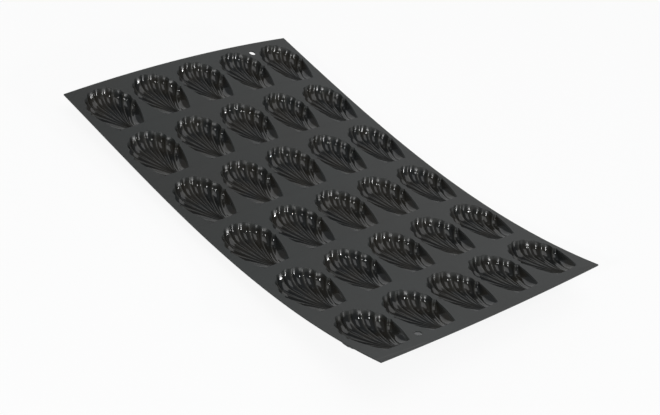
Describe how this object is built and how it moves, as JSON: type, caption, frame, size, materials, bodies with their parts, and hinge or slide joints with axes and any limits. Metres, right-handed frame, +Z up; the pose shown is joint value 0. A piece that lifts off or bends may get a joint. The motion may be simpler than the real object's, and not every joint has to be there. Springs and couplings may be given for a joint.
{
  "type": "silicone madeleine mould",
  "caption": "Flexible dark silicone sheet mould with shell-shaped madeleine cups in a grid and two hanging holes, resting slightly bowed.",
  "frame": {"origin": "on the surface that the mould lies on, below the middle of its outline", "axes": "+Z up, +Y along the sheet to the end that the fans of the shells point to, +X across it"},
  "size_m": [0.3252, 0.5276, 0.0574],
  "materials": {
    "silicone": "satin"
  },
  "bodies": {
    "root": {"madeleine_mould": "silicone"}
  },
  "joints": []
}
